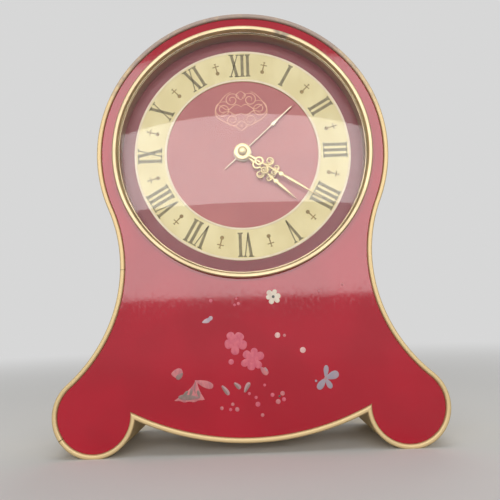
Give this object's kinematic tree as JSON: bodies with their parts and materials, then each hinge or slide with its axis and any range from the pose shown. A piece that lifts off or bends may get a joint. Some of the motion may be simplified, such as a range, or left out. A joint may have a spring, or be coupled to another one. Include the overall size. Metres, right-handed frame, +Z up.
{
  "type": "pendulette clock",
  "caption": "Free-standing key-wound alarm clock in a waisted red lacquered case with a gilt rim, domed crystal, raised chapter ring and pierced hands.",
  "frame": {"origin": "on the surface that the clock stands on, under the middle of its outer box", "axes": "+Z up, +X to the right seen from the front, the dial faces -Y"},
  "size_m": [0.1014, 0.0486, 0.119],
  "materials": {
    "gilt": "polished gilding with light wear",
    "red_lacquer": "deep gloss lacquer",
    "cream_enamel": "satin enamel",
    "crystal": "clear, domed",
    "hands_gilt": "satin gilding",
    "alarm_hand_pale": "satin gilding",
    "key_brass": "polished",
    "steel": "satin",
    "movement_brass": "satin"
  },
  "bodies": {
    "case": {"case_band": "gilt", "front_panel": "red_lacquer", "back_cover": "gilt", "cover_posts": "steel", "cover_screws": "gilt", "bezel": "gilt", "crystal": "crystal", "dial_plate": "red_lacquer", "chapter_ring": "cream_enamel", "minute_wheel_stud": "steel", "front_plate": "movement_brass", "rear_plate": "movement_brass", "plate_pillars": "steel", "pillar_screws": "steel", "movement_ring": "movement_brass", "ring_screws": "steel", "hairspring": "steel", "balance_cock": "movement_brass", "cock_screws": "steel", "gong_post": "steel"},
    "minute_hand": {"minute_hand": "hands_gilt", "hand_cap": "hands_gilt", "cannon_pinion": "movement_brass"},
    "hour_hand": {"hour_hand": "hands_gilt", "hour_wheel": "movement_brass"},
    "minute_wheel": {"minute_wheel": "movement_brass"},
    "hand_setting": {"set_arbor": "steel", "set_knob": "key_brass"},
    "alarm_hand": {"alarm_hand": "alarm_hand_pale", "alarm_wheel": "movement_brass"},
    "alarm_setting": {"alarm_set_arbor": "steel", "alarm_set_knob": "key_brass"},
    "time_winding": {"time_barrel_arbor": "steel", "time_ratchet_wheel": "steel", "time_winding_key": "key_brass"},
    "time_click": {"time_click": "steel"},
    "time_barrel": {"time_barrel": "movement_brass", "time_barrel_lid": "movement_brass", "time_mainspring": "steel"},
    "centre_wheel": {"centre_wheel": "movement_brass"},
    "third_wheel": {"third_wheel": "movement_brass"},
    "fourth_wheel": {"fourth_wheel": "movement_brass"},
    "escape_wheel": {"escape_wheel": "steel"},
    "pallet_lever": {"pallet_lever": "steel"},
    "balance": {"balance_wheel": "movement_brass"},
    "regulator": {"regulator": "steel"},
    "alarm_winding": {"alarm_barrel_arbor": "steel", "alarm_ratchet_wheel": "steel", "alarm_winding_key": "key_brass"},
    "alarm_click": {"alarm_click": "steel"},
    "alarm_barrel": {"alarm_barrel": "movement_brass", "alarm_barrel_lid": "movement_brass", "alarm_mainspring": "steel"},
    "alarm_second_wheel": {"alarm_second_wheel": "movement_brass"},
    "alarm_escape_wheel": {"alarm_escape_wheel": "steel"},
    "alarm_hammer": {"alarm_hammer": "steel"},
    "alarm_stop": {"alarm_stop": "key_brass"}
  },
  "joints": [
    {"name": "minute_hand_turn", "type": "hinge", "parent": "case", "child": "minute_hand", "pos_m": [0, -0.0202, 0.0794], "axis": [0, 1, 0], "continuous": true},
    {"name": "hour_hand_turn", "type": "hinge", "parent": "case", "child": "hour_hand", "pos_m": [0, -0.0202, 0.0794], "axis": [0, 1, 0], "continuous": true},
    {"name": "minute_wheel_turn", "type": "hinge", "parent": "case", "child": "minute_wheel", "pos_m": [-0.00624, -0.0202, 0.083], "axis": [0, 1, 0], "continuous": true},
    {"name": "hand_setting_turn", "type": "hinge", "parent": "case", "child": "hand_setting", "pos_m": [-0.01278, -0.0202, 0.08678], "axis": [0, 1, 0], "continuous": true},
    {"name": "alarm_hand_turn", "type": "hinge", "parent": "case", "child": "alarm_hand", "pos_m": [0, -0.0202, 0.0794], "axis": [0, 1, 0], "continuous": true},
    {"name": "alarm_setting_turn", "type": "hinge", "parent": "case", "child": "alarm_setting", "pos_m": [0, -0.0202, 0.0686], "axis": [0, 1, 0], "continuous": true},
    {"name": "time_key_turn", "type": "hinge", "parent": "case", "child": "time_winding", "pos_m": [-0.01269, -0.0202, 0.07348], "axis": [0, 1, 0], "range_deg": [0, 1800]},
    {"name": "time_click_lift", "type": "hinge", "parent": "case", "child": "time_click", "pos_m": [-0.01964, -0.0202, 0.07095], "axis": [0, 1, 0], "range_deg": [0, 14], "stiffness_Nm_per_rad": 0.0002, "springref_deg": -11.46},
    {"name": "fourth_wheel_turn", "type": "hinge", "parent": "case", "child": "fourth_wheel", "pos_m": [-0.00783, -0.0202, 0.09425], "axis": [0, 1, 0], "continuous": true},
    {"name": "third_wheel_turn", "type": "hinge", "parent": "case", "child": "third_wheel", "pos_m": [0, -0.0202, 0.0906], "axis": [0, 1, 0], "continuous": true},
    {"name": "centre_wheel_turn", "type": "hinge", "parent": "case", "child": "centre_wheel", "pos_m": [0, -0.0202, 0.0794], "axis": [0, 1, 0], "continuous": true},
    {"name": "time_barrel_turn", "type": "hinge", "parent": "case", "child": "time_barrel", "pos_m": [-0.01269, -0.0202, 0.07348], "axis": [0, 1, 0], "continuous": true},
    {"name": "escape_wheel_turn", "type": "hinge", "parent": "case", "child": "escape_wheel", "pos_m": [-0.00387, -0.0202, 0.10111], "axis": [0, 1, 0], "continuous": true},
    {"name": "pallet_lever_swing", "type": "hinge", "parent": "case", "child": "pallet_lever", "pos_m": [0.00145, -0.0202, 0.10017], "axis": [0, 1, 0], "range_deg": [-4, 4]},
    {"name": "balance_swing", "type": "hinge", "parent": "case", "child": "balance", "pos_m": [0.00972, -0.0202, 0.09871], "axis": [0, 1, 0], "range_deg": [-200, 200], "stiffness_Nm_per_rad": 0.000004},
    {"name": "regulator_swing", "type": "hinge", "parent": "case", "child": "regulator", "pos_m": [0.00972, -0.0202, 0.09871], "axis": [0, 1, 0], "range_deg": [-20, 20]},
    {"name": "alarm_key_turn", "type": "hinge", "parent": "case", "child": "alarm_winding", "pos_m": [0.01359, -0.0202, 0.07306], "axis": [0, 1, 0], "range_deg": [0, 1800]},
    {"name": "alarm_click_lift", "type": "hinge", "parent": "case", "child": "alarm_click", "pos_m": [0.02055, -0.0202, 0.07053], "axis": [0, 1, 0], "range_deg": [0, 14], "stiffness_Nm_per_rad": 0.0002, "springref_deg": -11.46},
    {"name": "alarm_second_wheel_turn", "type": "hinge", "parent": "case", "child": "alarm_second_wheel", "pos_m": [0.00659, -0.0202, 0.06094], "axis": [0, 1, 0], "continuous": true},
    {"name": "alarm_barrel_turn", "type": "hinge", "parent": "case", "child": "alarm_barrel", "pos_m": [0.01359, -0.0202, 0.07306], "axis": [0, 1, 0], "continuous": true},
    {"name": "alarm_escape_wheel_turn", "type": "hinge", "parent": "case", "child": "alarm_escape_wheel", "pos_m": [0.00011, -0.0202, 0.05858], "axis": [0, 1, 0], "continuous": true},
    {"name": "alarm_hammer_swing", "type": "hinge", "parent": "case", "child": "alarm_hammer", "pos_m": [-0.00462, -0.0202, 0.05774], "axis": [0, 1, 0], "range_deg": [-6, 0]},
    {"name": "alarm_stop_slide", "type": "slide", "parent": "case", "child": "alarm_stop", "axis": [0, 0, 1], "range_m": [0, 0.005]}
  ],
  "couplings": [
    {"joint": "minute_wheel_turn", "follows": "minute_hand_turn", "ratio": -0.33333},
    {"joint": "hour_hand_turn", "follows": "minute_hand_turn", "ratio": 0.083333},
    {"joint": "hand_setting_turn", "follows": "minute_hand_turn", "ratio": 0.83333},
    {"joint": "alarm_setting_turn", "follows": "alarm_hand_turn", "ratio": -4},
    {"joint": "third_wheel_turn", "follows": "fourth_wheel_turn", "ratio": -0.125},
    {"joint": "centre_wheel_turn", "follows": "fourth_wheel_turn", "ratio": 0.020833},
    {"joint": "time_barrel_turn", "follows": "fourth_wheel_turn", "ratio": -0.0034722},
    {"joint": "escape_wheel_turn", "follows": "fourth_wheel_turn", "ratio": -10},
    {"joint": "alarm_barrel_turn", "follows": "alarm_second_wheel_turn", "ratio": -0.16667},
    {"joint": "alarm_escape_wheel_turn", "follows": "alarm_second_wheel_turn", "ratio": -6.6667}
  ]
}
